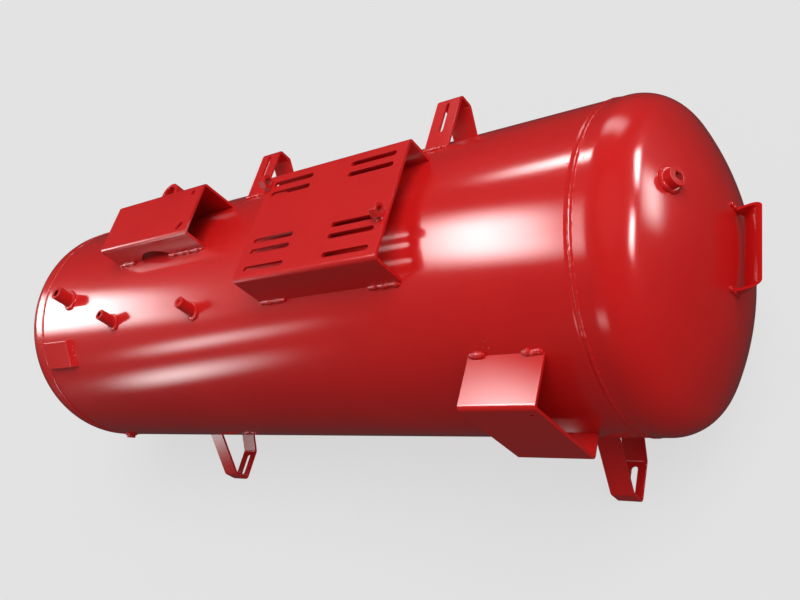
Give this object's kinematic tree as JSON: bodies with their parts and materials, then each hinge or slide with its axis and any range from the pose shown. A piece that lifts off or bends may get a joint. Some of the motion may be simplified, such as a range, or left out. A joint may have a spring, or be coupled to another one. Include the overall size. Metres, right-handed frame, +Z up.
{
  "type": "horizontal compressed air receiver tank with mounting platforms",
  "caption": "Horizontal welded steel air receiver with dished heads, bar feet, slotted motor and pump platforms, side brackets, an end handle and pipe sockets.",
  "frame": {"origin": "on the floor, midway between the four feet, below the tank's axis", "axes": "+X along the tank to the end with the handle, +Y to the side with the belt guard brackets, +Z up"},
  "size_m": [1.5948, 0.556, 0.594],
  "materials": {
    "red_paint": "gloss"
  },
  "bodies": {
    "root": {"shell": "red_paint", "near_head": "red_paint", "far_head": "red_paint", "foot_near_front": "red_paint", "foot_near_back": "red_paint", "foot_far_front": "red_paint", "foot_far_back": "red_paint", "motor_platform": "red_paint", "pump_platform": "red_paint", "tension_nut_near": "red_paint", "tension_nut_far": "red_paint", "starter_bracket": "red_paint", "guard_bracket_near": "red_paint", "guard_bracket_far": "red_paint", "end_handle": "red_paint", "data_plate_holder": "red_paint", "side_socket_near": "red_paint", "side_socket_near_plug": "red_paint", "side_socket_middle": "red_paint", "side_socket_middle_plug": "red_paint", "side_socket_far": "red_paint", "side_socket_far_plug": "red_paint", "riser_socket": "red_paint", "lower_socket": "red_paint", "lower_socket_plug": "red_paint", "head_socket": "red_paint", "head_socket_plug": "red_paint"}
  },
  "joints": []
}
